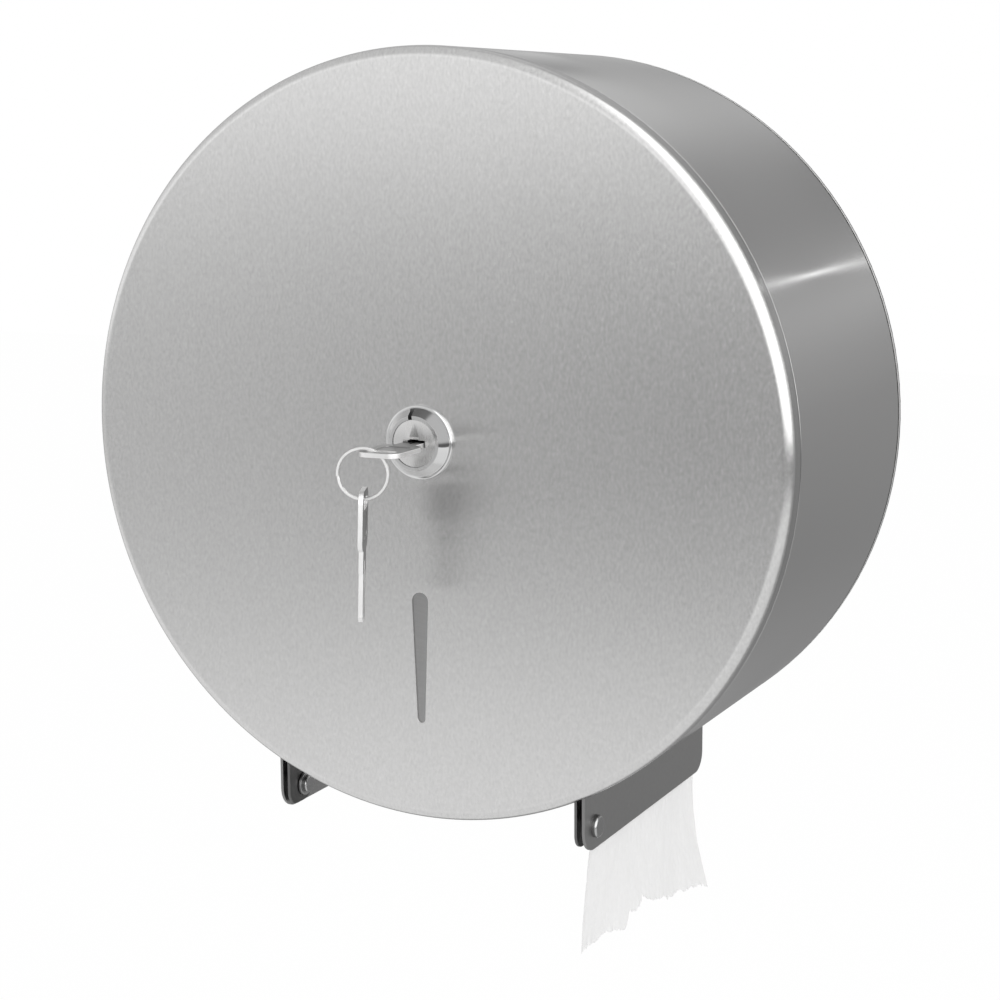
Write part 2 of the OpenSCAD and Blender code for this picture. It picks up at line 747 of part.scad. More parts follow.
// Place across the drum of a point of the hanging part
function tail_x(drop, c) =
    let (lean = tail_lean[0] + (tail_lean[1] - tail_lean[0]) * c,
        curl = tail_curl[0] + (tail_curl[1] - tail_curl[0]) * c)
    tail_bend[0] - lean * drop + curl * drop * drop
        + wave_d * sin(360 * wave_n * c + 3 * drop) * drop / 60;
// The first two rows are the straight run from the roll to the bend
function tail_point(row, col, side) =
    let (c = tail_across[col], drop = tail_hang[col] * max(0, row - 2) / (tail_rows - 2),
        run = tail_start + (tail_bend - tail_start) * min(row, 2) / 2)
    [(row > 2 ? tail_x(drop, c) : run[0]) + side * tail_t / 2, run[1] - drop,
        roll_back + roll_w * (1 - c)];

module paper_tail() color("white") upright() {
    rows = tail_rows + 1;
    cols = tail_cols + 1;
    sheet_n = rows * cols;
    polyhedron(
        points = [for (side = [-1, 1], row = [0:rows - 1], col = [0:cols - 1])
            tail_point(row, col, side)],
        faces = concat(
            [for (row = [0:rows - 2], col = [0:cols - 2], half = [0, 1])
                let (a = row * cols + col, b = a + 1, c = a + cols, d = c + 1)
                half == 0 ? [a, c, b] : [b, c, d]],
            [for (row = [0:rows - 2], col = [0:cols - 2], half = [0, 1])
                let (a = sheet_n + row * cols + col, b = a + 1, c = a + cols, d = c + 1)
                half == 0 ? [a, b, c] : [b, d, c]],
            [for (col = [0:cols - 2], end = [0, rows - 1], half = [0, 1])
                let (a = end * cols + col, b = a + 1, c = a + sheet_n, d = c + 1)
                edge_face(a, b, c, d, half, end > 0)],
            [for (row = [0:rows - 2], end = [0, cols - 1], half = [0, 1])
                let (a = row * cols + end, b = a + cols, c = a + sheet_n, d = b + sheet_n)
                edge_face(a, b, c, d, half, end == 0)]));
}

// One of the two triangles that close the sheet's edge between two points
function edge_face(a, b, c, d, half, turned) =
    turned ? (half == 0 ? [a, c, b] : [b, c, d]) : (half == 0 ? [a, b, c] : [b, d, c]);

drum_band();
back_plate();
spindle_base();
spindle_post();
spindle_keeper();
spindle_rivets();
hinge_rivets();
hinge_spacers();
hinge_washers();
front_lid();
hinge_ear_left();
hinge_ear_right();
lock_barrel();
lock_washer();
lock_nut();
lock_plug();
lock_cam();
cam_screw();
lock_key();
key_ring();
spare_key();
roll_core();
paper_roll();
paper_tail();
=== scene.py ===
import json
import math

import bmesh
import bpy
from mathutils import Matrix, Vector, noise


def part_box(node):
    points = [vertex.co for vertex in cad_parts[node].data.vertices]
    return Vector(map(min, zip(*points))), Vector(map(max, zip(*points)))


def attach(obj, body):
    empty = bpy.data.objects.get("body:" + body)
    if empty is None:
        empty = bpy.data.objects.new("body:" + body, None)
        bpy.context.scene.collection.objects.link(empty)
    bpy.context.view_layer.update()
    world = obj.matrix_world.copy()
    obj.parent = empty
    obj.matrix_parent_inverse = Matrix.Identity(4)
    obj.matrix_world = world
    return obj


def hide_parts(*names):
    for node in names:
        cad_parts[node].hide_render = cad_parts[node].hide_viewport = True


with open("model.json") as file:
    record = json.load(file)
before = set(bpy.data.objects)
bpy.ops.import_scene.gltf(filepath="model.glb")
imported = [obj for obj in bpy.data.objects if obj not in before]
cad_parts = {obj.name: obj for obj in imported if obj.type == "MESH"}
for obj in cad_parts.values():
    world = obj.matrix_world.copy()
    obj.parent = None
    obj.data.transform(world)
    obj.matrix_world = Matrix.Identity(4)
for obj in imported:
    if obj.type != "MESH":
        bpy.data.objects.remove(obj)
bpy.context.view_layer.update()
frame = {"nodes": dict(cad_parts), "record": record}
nodes = frame["nodes"]
record = frame["record"]
mm = 0.001
lockAt = (0.8 * mm, 0.7 * mm)  # the lock's axis, across and up
rollDrop = 10.7  # mm, from the drum's axis down to the roll's
bodyOf = {node: body for body, held in record["behaviour"]["bodies"].items() for node in held}
print("frame loaded:", len(nodes), "nodes")


# ---- camera
camera = {"azimuth": 26.0615, "elevation": 9.9045, "roll": -0.3736, "lens": 77.34,
          "place": (0.33505, -0.74571, 0.10435)}


def placeCamera():
    az, el, roll = (math.radians(camera[key]) for key in ("azimuth", "elevation", "roll"))
    back = Vector((math.sin(az) * math.cos(el), -math.cos(az) * math.cos(el), math.sin(el)))
    right = (-back).cross(Vector((0, 0, 1))).normalized()
    up = right.cross(-back)
    side = math.cos(roll) * right + math.sin(roll) * up
    top = math.cos(roll) * up - math.sin(roll) * right
    data = bpy.data.cameras.new("camera")
    data.lens = camera["lens"]
    data.sensor_width = 36
    data.clip_start = 0.01
    obj = bpy.data.objects.new("camera", data)
    turn = Matrix((side, top, back)).transposed().to_4x4()
    obj.matrix_world = Matrix.Translation(camera["place"]) @ turn
    bpy.context.scene.collection.objects.link(obj)
    bpy.context.scene.camera = obj


placeCamera()
print("camera placed")


# ---- shader helpers
class Value:
    # wraps a socket, so that sums on it add Math nodes
    def __init__(self, tree, socket):
        self.tree = tree
        self.socket = socket

    def math(self, operation, first, second=0.0):
        return self.tree.add("ShaderNodeMath", {"operation": operation}, {0: first, 1: second})

    def __add__(self, other):
        return self.math("ADD", self, other)

    def __radd__(self, other):
        return self.math("ADD", other, self)

    def __sub__(self, other):
        return self.math("SUBTRACT", self, other)

    def __rsub__(self, other):
        return self.math("SUBTRACT", other, self)

    def __mul__(self, other):
        return self.math("MULTIPLY", self, other)

    def __rmul__(self, other):
        return self.math("MULTIPLY", other, self)

    def __pow__(self, other):
        return self.math("POWER", self, other)

    def size(self):
        return self.math("ABSOLUTE", self)


class Tree:
    # builds the nodes of one material or of the world
    def __init__(self, owner):
        owner.use_nodes = True
        self.nodes = owner.node_tree.nodes
        self.links = owner.node_tree.links
        self.nodes.clear()

    def add(self, kind, settings=None, values=None, output=0):
        node = self.nodes.new(kind)
        for key, value in (settings or {}).items():
            if key == "stops":
                self.setStops(node.color_ramp, value)
            else:
                setattr(node, key, value)
        for key, value in (values or {}).items():
            if isinstance(value, Value):
                self.links.new(value.socket, node.inputs[key])
            else:
                node.inputs[key].default_value = value
        return Value(self, node.outputs[output]) if node.outputs else node

    def setStops(self, ramp, stops):
        while len(ramp.elements) < len(stops):
            ramp.elements.new(1.0)
        for element, (place, level) in zip(ramp.elements, stops):
            element.position = place
            element.color = (level, level, level, 1)

    def split(self, vector):
        node = self.nodes.new("ShaderNodeSeparateXYZ")
        self.links.new(vector.socket, node.inputs[0])
        return [Value(self, out) for out in node.outputs]

    def combine(self, x, y, z):
        return self.add("ShaderNodeCombineXYZ", None, {0: x, 1: y, 2: z})

    def place(self):
        return self.add("ShaderNodeTexCoord", None, None, "Object")

    def noise(self, vector, scale, detail=2.0, roughness=0.5):
        return self.add("ShaderNodeTexNoise", None, {"Vector": vector, "Scale": scale,
                        "Detail": detail, "Roughness": roughness})

    def between(self, value, low, high):
        # 0 at low and 1 at high, with a soft change
        return self.add("ShaderNodeMapRange", {"interpolation_type": "SMOOTHSTEP"},
                        {"Value": value, "From Min": low, "From Max": high})

    def mixColour(self, share, first, second):
        return self.add("ShaderNodeMix", {"data_type": "RGBA"},
                        {0: share, 6: first, 7: second}, 2)

    def bump(self, height, strength, distance):
        return self.add("ShaderNodeBump", None,
                        {"Height": height, "Strength": strength, "Distance": distance})

    def finish(self, values):
        shader = self.add("ShaderNodeBsdfPrincipled", None, values)
        self.add("ShaderNodeOutputMaterial", None, {"Surface": shader})


def grey(level, warmth=0.0):
    return (level * (1 + warmth), level, level * (1 - warmth), 1)


def newMaterial(name):
    material = bpy.data.materials.new(name)
    return material, Tree(material)


# ---- studio: world, lamps and floor
studio = {
    # what the metal sees in front of it and behind it, by the sine of the elevation
    "left": [(-0.5, 0.97), (-0.33, 1.03), (-0.29, 1.03), (-0.21, 0.82), (-0.145, 0.76),
             (-0.07, 0.8), (-0.02, 0.9), (0.02, 1.17), (0.1, 1.15), (0.5, 0.75)],
    "right": [(-0.5, 0.9), (-0.33, 0.97), (-0.29, 0.97), (-0.21, 0.48), (-0.145, 0.26),
              (-0.07, 0.32), (-0.02, 0.6), (0.02, 1.12), (0.1, 1.1), (0.5, 0.7)],
    "back": [(-0.5, 0.35), (-0.34, 0.3), (-0.17, 0.34), (-0.06, 0.36), (0.05, 0.43),
             (0.14, 0.56), (0.21, 0.44), (0.25, 0.36), (0.305, 0.3), (0.36, 0.4), (0.5, 0.5)],
    "above": {"level": 0.62, "across": (0.08, -0.16), "up": (0.24, 0.31)},
    "across": (-0.62, -0.28), "fill": 0.68,
    "box": {"level": 2.2, "side": (0.05, 0.25), "low": (-0.14, 0.0), "behind": (0.12, 0.5)},
    "streak": {"level": 2.3, "slope": 0.49, "middle": 0.0712, "half": 0.006},
    "lamps": [("rightBox", (1.05, -0.75, 0.42), (0.5, 0.9), 5.0),
              ("topBox", (-0.15, -0.35, 1.25), (1.0, 0.7), 5.0)],
    "aim": (0, -0.06, 0), "floorZ": -0.45, "floorHalf": 4.0,
}


def buildWorld():
    world = bpy.data.worlds.new("studio")
    bpy.context.scene.world = world
    tree = Tree(world)
    x, y, z = tree.split(tree.add("ShaderNodeTexCoord", None, None, "Generated"))
    left, right, back = (tree.add("ShaderNodeValToRGB", {"stops": [(sine + 0.5, level) for
                                  sine, level in studio[key]]}, {0: z + 0.5})
                         for key in ("left", "right", "back"))
    facing = tree.mixColour(tree.between(x, *studio["across"]), left, right)
    box, streak = studio["box"], studio["streak"]
    inBox = tree.between(x, *box["side"]) * tree.between(z, *box["low"])
    facing = tree.mixColour(inBox, facing, grey(box["level"]))
    above = studio["above"]
    isAbove = tree.between(x, *above["across"]) * tree.between(z, *above["up"])
    behind = tree.mixColour(isAbove, back, grey(above["level"]))
    off = (z - x * streak["slope"] - streak["middle"]).size()
    behind = tree.mixColour(tree.between(off, streak["half"], 0.0), behind, grey(streak["level"]))
    seen = tree.mixColour(tree.between(y, *box["behind"]), facing, behind)
    path = tree.nodes.new("ShaderNodeLightPath")
    isCamera, isGlossy, isThrough = (Value(tree, path.outputs[name]) for name in
                                     ("Is Camera Ray", "Is Glossy Ray", "Is Transmission Ray"))
    metalSees = tree.mixColour(isGlossy, grey(studio["fill"]), seen)
    colour = tree.mixColour(isCamera + isThrough, metalSees, grey(1.0))
    light = tree.add("ShaderNodeBackground", None, {"Color": colour, "Strength": 1.0})
    tree.add("ShaderNodeOutputWorld", None, {"Surface": light})


def addLamp(name, place, size, power):
    data = bpy.data.lights.new(name, "AREA")
    data.shape = "RECTANGLE"
    data.size, data.size_y = size
    data.energy = power
    obj = bpy.data.objects.new(name, data)
    obj.location = place
    aim = Vector(studio["aim"]) - Vector(place)
    obj.rotation_euler = aim.to_track_quat("-Z", "Y").to_euler()
    obj.visible_glossy = False
    bpy.context.scene.collection.objects.link(obj)


def addFloor():
    bm = bmesh.new()
    bmesh.ops.create_grid(bm, x_segments=1, y_segments=1, size=studio["floorHalf"])
    bmesh.ops.translate(bm, verts=bm.verts, vec=(0, 0, studio["floorZ"]))
    mesh = bpy.data.meshes.new("floor")
    bm.to_mesh(mesh)
    floor = bpy.data.objects.new("floor", mesh)
    material, tree = newMaterial("paleFloor")
    path = tree.nodes.new("ShaderNodeLightPath")
    pale = tree.add("ShaderNodeBsdfDiffuse", None, {"Color": grey(0.9)})
    white = tree.add("ShaderNodeEmission", None, {"Color": grey(1.0), "Strength": 1.0})
    share = Value(tree, path.outputs["Is Camera Ray"]) * 0.985
    mixed = tree.add("ShaderNodeMixShader", None, {0: share, 1: pale, 2: white})
    tree.add("ShaderNodeOutputMaterial", None, {"Surface": mixed})
    mesh.materials.append(material)
    floor.visible_glossy = False
    bpy.context.scene.collection.objects.link(floor)


bpy.context.scene.view_settings.view_transform = "Standard"
buildWorld()
for lamp in studio["lamps"]:
    addLamp(*lamp)
addFloor()
print("studio set")


# ---- materials
def steelFinish(name, level, roughness, around, streak=1.0, brushed=0.9):
    # brushed stainless steel: the grain stands upright, or runs round the drum
    material, tree = newMaterial(name)
    x, y, z = tree.split(tree.place())
    if around:
        turn = tree.add("ShaderNodeMath", {"operation": "ARCTAN2"}, {0: x, 1: z})
        across, along, third = y, turn * 0.13, 0.0
    else:
        across, along, third = x, z, y
    fine = tree.noise(tree.combine(across * 1300, along * 560, third * 900), 1.0, 3.0, 0.6)
    broad = tree.noise(tree.combine(across * 1100, along * 800, third * 600), 1.0, 2.0)
    cloud = tree.noise(tree.place(), 9.0, 2.0)
    grain = fine * 0.6 + broad * 0.4
    tone = (grain - 0.5) * (0.4 * streak) + (cloud - 0.5) * 0.05 + 0.5
    colour = tree.mixColour(tone, grey(level * 0.5, 0.004), grey(level * 1.5, 0.004))
    rough = (fine - 0.5) * 0.08 + (cloud - 0.5) * 0.04 + roughness
    tree.finish({"Base Color": colour, "Metallic": 1.0, "Roughness": rough,
                 "Anisotropic": brushed, "Normal": tree.bump(grain, 0.1 * streak, 0.00002)})
    return material


def platedFinish(name, level, roughness, warmth=0.0, wear=0.1, dome=0.0):
    # bright plate with hair scratches and a slightly uneven polish; dome rounds the plug's front
    material, tree = newMaterial(name)
    place = tree.place()
    x, y, z = tree.split(place)
    hair = tree.noise(tree.combine(x * 2400, y * 2400, z * 120), 1.0, 2.0)
    polish = tree.noise(place, 260.0, 2.0)
    colour = tree.mixColour((polish - 0.5) * wear + 0.5, grey(level * 0.7, warmth),
                            grey(level * 1.3, warmth))
    rough = (hair - 0.5) * 0.1 + (polish - 0.5) * 0.08 + roughness
    height = (polish + hair * 0.3) * 0.000005
    if dome:
        across, up = x - lockAt[0], z - lockAt[1]
        height = height * 0.2 - (across * across + up * up) * dome
    tree.finish({"Base Color": colour, "Metallic": 1.0, "Roughness": rough,
                 "Normal": tree.bump(height, 1.0, 1.0)})
    return material


def darkMarkAndShadeFinish():
    # dark, for the lock's index mark and for the painted shade in the gap round its plug
    material, tree = newMaterial("darkMarkAndGapShade")
    speck = tree.noise(tree.place(), 2500.0, 2.0)
    tree.finish({"Base Color": tree.mixColour(speck, grey(0.02), grey(0.07)),
                 "Roughness": speck * 0.2 + 0.35})
    return material


def cardboardFinish():
    material, tree = newMaterial("greyCardboard")
    place = tree.place()
    fibre = tree.noise(place, 1400.0, 4.0, 0.65)
    cloud = tree.noise(place, 60.0, 2.0)
    share = fibre * 0.6 + cloud * 0.4
    tree.finish({"Base Color": tree.mixColour(share, (0.36, 0.27, 0.18, 1), (0.6, 0.49, 0.36, 1)),
                 "Roughness": 0.9, "Normal": tree.bump(fibre, 0.3, 0.0001)})
    return material


def tissueRollFinish():
    # the roll: winding lines on its flat sides, a fine emboss on its outside, and a painted glow
    # of light all over it, which lights its side behind the level slot
    material, tree = newMaterial("rollTissue")
    place = tree.place()
    x, y, z = tree.split(place)
    up = z + rollDrop * mm
    radius = (x * x + up * up) ** 0.5
    winding = tree.noise(tree.combine(radius * 2600, x * 6, z * 6), 1.0, 2.0)
    emboss = tree.noise(place, 700.0, 3.0)
    colour = tree.mixColour(winding, grey(0.7, 0.004), grey(0.86, 0.004))
    tree.finish({"Base Color": colour, "Roughness": 0.95, "Emission Color": grey(0.13),
                 "Emission Strength": 1.0,
                 "Normal": tree.bump(winding * 0.6 + emboss * 0.4, 0.5, 0.0003)})
    return material


def tissueSheetFinish():
    # the loose end, on its own map: u across it and v along it, in metres
    material, tree = newMaterial("sheetTissue")
    u, v = tree.split(tree.add("ShaderNodeTexCoord", None, None, "UV"))[:2]
    flat = tree.combine(u, v, 0.0)
    fibre = tree.noise(tree.combine(u * 1500, v * 160, 0.0), 1.0, 4.0, 0.6)
    emboss = tree.noise(flat, 520.0, 2.0)
    cloud = tree.noise(flat, 90.0, 2.0)
    share = fibre * 0.3 + emboss * 0.4 + cloud * 0.3
    tree.finish({"Base Color": tree.mixColour(share, grey(0.84, 0.002), grey(0.96, 0.002)),
                 "Roughness": 0.95, "Normal": tree.bump(emboss * 0.8 + fibre * 0.2, 0.25, 0.0002)})
    return material


finishes = {
    "lidSteel": steelFinish("lidSteel", 0.66, 0.25, False),
    "bandSteel": steelFinish("bandSteel", 0.6, 0.14, True, 0.5, 0.95),
    # the skirt's steel: grain round the drum, and a colour painted darker than the band as shade
    "skirtSteel": steelFinish("skirtSteel", 0.5, 0.2, True, 0.5, 0.9),
    # a light steel whose colour is a painted highlight on the pan's rim
    "paintedHighlightRimSteel": steelFinish("paintedHighlightRimSteel", 0.82, 0.55, True, 0.5, 0.0),
    "plateSteel": steelFinish("plateSteel", 0.45, 0.32, False, 0.6, 0.5),
    # a darker, rougher steel for cut edges, whose colour is painted shade
    "paintedShadeCutSteel": steelFinish("paintedShadeCutSteel", 0.26, 0.4, False, 0.6, 0.0),
    # a dark steel whose colour is painted shade, on the hinge ears, the rivets' sides and the
    # rim's rounding
    "earSteel": steelFinish("earSteel", 0.16, 0.42, False, 0.6, 0.0),
    "zinc": platedFinish("dullZinc", 0.5, 0.34),
    "rivetSteel": platedFinish("rivetSteel", 0.45, 0.2),
    "chrome": platedFinish("brightChrome", 0.7, 0.12, 0.0, 0.05),
    # a dark chrome, whose colour is a painted reflection on a quarter of the lock's bevel
    "shadeChrome": platedFinish("shadeChrome", 0.2, 0.14, 0.0, 0.05),
    "plugNickel": platedFinish("plugNickel", 0.6, 0.26, 0.004, 0.05, 10.0),
    # a light nickel painted as a highlight on the keys' edges, and a dark nickel painted as shade
    # and reflection on their flat sides
    "paintedHighlightNickel": platedFinish("paintedHighlightNickel", 0.9, 0.36, 0.004),
    "shadeNickel": platedFinish("paintedShadeNickel", 0.3, 0.3, 0.004),
    # dark, for the index mark and the painted shade round the lock's plug
    "darkMarkAndShade": darkMarkAndShadeFinish(),
    "cardboard": cardboardFinish(),
    # the roll's tissue, with a painted glow of light
    "rollTissue": tissueRollFinish(),
    "sheetTissue": tissueSheetFinish(),
}
print("materials made:", len(finishes))


# ---- mesh helpers
def addPiece(bm, name, finish, replaced, sharp=32):
    # turns a bmesh into a finished piece that stands for CAD nodes
    for face in bm.faces:
        face.smooth = True
    for edge in bm.edges:
        edge.smooth = len(edge.link_faces) == 2 and edge.calc_face_angle(0) < math.radians(sharp)
    mesh = bpy.data.meshes.new(name)
    bm.to_mesh(mesh)
    bm.free()
    for key in ([finish] if isinstance(finish, str) else finish):
        mesh.materials.append(finishes[key])
    piece = bpy.data.objects.new(name, mesh)
    bpy.context.scene.collection.objects.link(piece)
    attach(piece, bodyOf[replaced[0]])
    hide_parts(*replaced)
    return piece


def addModifier(piece, kind, **settings):
    modifier = piece.modifiers.new(kind.lower(), kind)
    for key, value in settings.items():
        setattr(modifier, key, value)


def bevelEdges(piece, width, angle=32):
    addModifier(piece, "BEVEL", width=width, segments=2, limit_method="ANGLE",
                angle_limit=math.radians(angle), harden_normals=True, miter_outer="MITER_ARC")


def finishedNode(node, finish, width, paint=None, sharp=32, change=None):
    # a CAD node's own mesh, merged, with broken edges and its finish
    bm = bmesh.new()
    bm.from_mesh(nodes[node].data)
    bmesh.ops.remove_doubles(bm, verts=bm.verts, dist=0.002 * mm)
    bmesh.ops.dissolve_limit(bm, angle_limit=math.radians(0.2), verts=bm.verts, edges=bm.edges)
    if change:
        change(bm)
    for face in bm.faces:
        face.material_index = int(paint(face)) if paint else 0
    piece = addPiece(bm, node + "Finish", finish, [node], sharp)
    if width:
        bevelEdges(piece, width)


def spinProfile(bm, points, centre, axis, steps):
    # turns a profile, given as points in space, all the way round
    verts = [bm.verts.new(point) for point in points]
    edges = [bm.edges.new(pair) for pair in zip(verts, verts[1:])]
    bmesh.ops.spin(bm, geom=verts + edges, cent=centre, axis=axis, angle=2 * math.pi,
                   steps=steps, use_merge=True)


def arc(centre, radius, start, end, steps):
    # points of a flat arc, angles in degrees
    turns = [math.radians(start + (end - start) * i / steps) for i in range(steps + 1)]
    return [(centre[0] + radius * math.cos(a), centre[1] + radius * math.sin(a)) for a in turns]


# ---- the lid
lid = {"edge": 3.4 * mm, "wall": 1.0 * mm, "steps": 288, "edgeSteps": 14, "flatRing": 0.4 * mm,
       "gateHalf": 60.5 * mm, "slotTop": 50.6 * mm, "slotLength": 45.2 * mm,
       "slotTopRadius": 3 * mm, "slotLowRadius": 1.4 * mm,
       "hole": 9.55 * mm, "holeFlat": 8.55 * mm, "lowPart": -50 * mm, "skirtTilt": 0.08}


def addLoop(bm, outline, y):
    verts = [bm.verts.new((x, y, z)) for x, z in outline]
    return [bm.edges.new((verts[i - 1], verts[i])) for i in range(len(verts))]


def slotOutline():
    topR, lowR = lid["slotTopRadius"], lid["slotLowRadius"]
    high = -lid["slotTop"] - topR
    low = -lid["slotTop"] - lid["slotLength"] + lowR
    lean = math.degrees(math.asin((topR - lowR) / (high - low)))
    return (arc((0, high), topR, -lean, 180 + lean, 24)
            + arc((0, low), lowR, 180 + lean, 360 - lean, 16))


def holeOutline():
    x, z = lockAt
    half = math.degrees(math.asin(lid["holeFlat"] / lid["hole"]))
    return (arc((x, z), lid["hole"], -half, half, 24)
            + arc((x, z), lid["hole"], 180 - half, 180 + half, 24))


def lowRim(item, face):
    # the lower part of the rim and skirt, which the paper gate cuts
    points = [item.co] if isinstance(item, bmesh.types.BMVert) else [v.co for v in item.verts]
    return all(p.z < lid["lowPart"] and p.y > face + 0.5 * mm for p in points)


def makeLid():
    low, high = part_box("front_lid")
    radius, face, back = high.x, low.y, high.y
    flat = radius - lid["edge"]
    bm = bmesh.new()
    rim = [(flat - lid["flatRing"], face)] + arc((flat, face + lid["edge"]), lid["edge"],
                                                 -90, 0, lid["edgeSteps"]) + [(radius, back)]
    spinProfile(bm, [(r, y, 0) for r, y in rim], (0, 0, 0), (0, 1, 0), lid["steps"])
    inner = [edge for edge in bm.edges if len(edge.link_faces) == 1
             and all(abs(vert.co.y - face) < 0.01 * mm for vert in edge.verts)]
    holes = addLoop(bm, slotOutline(), face) + addLoop(bm, holeOutline(), face)
    bmesh.ops.triangle_fill(bm, use_beauty=True, edges=inner + holes, normal=(0, -1, 0))
    # the skirt stops on both sides of the paper gate
    for place, normal in (((lid["gateHalf"], 0, 0), (1, 0, 0)),
                          ((-lid["gateHalf"], 0, 0), (1, 0, 0)),
                          ((0, face + lid["edge"], 0), (0, 1, 0))):
        near = [item for item in bm.verts[:] + bm.edges[:] + bm.faces[:] if lowRim(item, face)]
        bmesh.ops.bisect_plane(bm, geom=near, dist=0.0001 * mm, plane_co=place, plane_no=normal)
    middles = [(item, item.calc_center_median()) for item in bm.faces]
    cut = [item for item, middle in middles if middle.z < 0
           and abs(middle.x) < lid["gateHalf"] and middle.y > face + lid["edge"]]
    bmesh.ops.delete(bm, geom=cut, context="FACES")
    bmesh.ops.recalc_face_normals(bm, faces=bm.faces)
    front = min(bm.faces, key=lambda item: (item.calc_center_median().length
                                            + abs(item.normal.x) + abs(item.normal.z)))
    if front.normal.y > 0:
        bmesh.ops.reverse_faces(bm, faces=bm.faces)
    # the skirt's faces take the steel painted darker as shade
    for item in bm.faces:
        item.material_index = int(abs(item.normal.y) < lid["skirtTilt"])
    piece = addPiece(bm, "lidShell", ["lidSteel", "skirtSteel"], ["front_lid"])
    addModifier(piece, "SOLIDIFY", thickness=lid["wall"], offset=-1, use_even_offset=True)
    bevelEdges(piece, 0.14 * mm, 60)


makeLid()
print("lid made")


# ---- the drum: its band with the two gate plates, and the pan behind it
drum = {"gateTop": -117.5 * mm, "rimRadius": 128 * mm, "rimHighlightToShade": -1.9 * mm,
        "wallRadius": 129.5 * mm, "seamFrom": -3.75 * mm, "seamWider": 0.5 * mm}


def gatePaint(face):
    # the gate plates' sides and cut edges have their own rougher finish, painted darker as shade
    # under the drum, the cut edges darker still
    if face.calc_center_median().z > drum["gateTop"]:
        return 0
    return 1 if abs(face.normal.x) > 0.9 else 2


def rimPaint(face):
    # the pan's rim has a painted highlight, and its rounding towards the wall has painted shade as
    # a dark outline
    middle = face.calc_center_median()
    if math.hypot(middle.x, middle.z) < drum["rimRadius"]:
        return 0
    return 2 if middle.y > drum["rimHighlightToShade"] else 1


def splitRim(bm):
    # cuts the rim where its painted highlight meets its painted shade
    bmesh.ops.bisect_plane(bm, geom=bm.verts[:] + bm.edges[:] + bm.faces[:], dist=0.0001 * mm,
                           plane_co=(0, drum["rimHighlightToShade"], 0), plane_no=(0, 1, 0))


def widenSeam(bm):
    # the band's back edge is turned in a little, which shows the seam behind it
    for vert in bm.verts:
        onWall = math.hypot(vert.co.x, vert.co.z) > drum["wallRadius"]
        if onWall and vert.co.y > drum["seamFrom"]:
            vert.co.y -= drum["seamWider"]


finishedNode("drum_band", ["bandSteel", "plateSteel", "paintedShadeCutSteel"], 0.2 * mm, gatePaint,
             change=widenSeam)
finishedNode("back_plate", ["bandSteel", "paintedHighlightRimSteel", "earSteel"], 0.15 * mm, rimPaint,
             change=splitRim)
print("drum made")


# ---- plain pieces, which keep their CAD shape
plain = [
    ("spindle_base", "plateSteel", 0.15), ("spindle_post", "plateSteel", 0.15),
    ("spindle_keeper", "plateSteel", 0.12), ("spindle_rivets", "zinc", 0.0),
    ("hinge_spacers", "zinc", 0.12),
    # the hinge ears are painted dark as shade
    ("hinge_washers", "zinc", 0.12), ("hinge_ear_left", "earSteel", 0.2),
    ("hinge_ear_right", "earSteel", 0.2), ("lock_washer", "zinc", 0.12),
    ("lock_nut", "zinc", 0.25), ("lock_cam", "zinc", 0.2), ("cam_screw", "zinc", 0.15),
    ("roll_core", "cardboard", 0.2),
]
for node, finish, width in plain:
    finishedNode(node, finish, width * mm)


def rivetPaint(face):
    # the sides of the rivets' heads are painted darker than their tops, as shade
    return abs(face.normal.x) < 0.35


finishedNode("hinge_rivets", ["rivetSteel", "earSteel"], 0.0, rivetPaint)


# ---- the keys and their ring: flat sides painted dark as shade and reflection, edges painted light as a highlight
keys = {"up": (0, 0, 1), "spareSide": (0.9205, 0.3907, 0), "ringAxis": (0.309, -0.951, 0),
        "edge": 1 * mm}


def keyPaint(side):
    # a key's outer edges, which go through its whole thickness; they get a painted highlight
    def paint(face):
        depths = [vert.co.dot(side) for vert in face.verts]
        return abs(face.normal.dot(side)) < 0.8 and max(depths) - min(depths) > keys["edge"]
    return paint


def ringPaint(face):
    # faces across the ring's axis get the painted highlight, the rest the painted shade
    return abs(face.normal.dot(Vector(keys["ringAxis"]))) > 0.7


for node, side in (("lock_key", keys["up"]), ("spare_key", keys["spareSide"])):
    finishedNode(node, ["shadeNickel", "paintedHighlightNickel"], 0.14 * mm, keyPaint(Vector(side)))
finishedNode("key_ring", ["shadeNickel", "paintedHighlightNickel"], 0.12 * mm, ringPaint)


# ---- the lock's head, with the dark index mark, painted shade in the gap round the plug and a painted dark reflection on a quarter of its bevel
lock = {"mark": 4.4 * mm, "markSide": 0.75 * mm, "markTurn": math.radians(9),
        "markRadius": 9.2 * mm, "markCorners": 12, "bevel": (9.0 * mm, 11.6 * mm),
        "tilt": (0.3, 0.95), "shade": (-4, 99), "front": -123.6 * mm, "bore": (6.5 * mm, 8.9 * mm)}


def fromAxis(face):
    middle = face.calc_center_median()
    return middle.x - lockAt[0], middle.z - lockAt[1]


def inMark(face):
    if len(face.verts) > lock["markCorners"]:
        return False
    x, z = fromAxis(face)
    side = x * math.cos(lock["markTurn"]) + z * math.sin(lock["markTurn"])
    out = z * math.cos(lock["markTurn"]) - x * math.sin(lock["markTurn"])
    return abs(side) < lock["markSide"] and abs(out - lock["markRadius"]) < lock["mark"] / 2


def inGap(face):
    # the gap between the plug and the barrel round it, painted dark as shade
    out = math.hypot(*fromAxis(face))
    return lock["bore"][0] < out < lock["bore"][1] and abs(face.normal.y) < lock["tilt"][0]


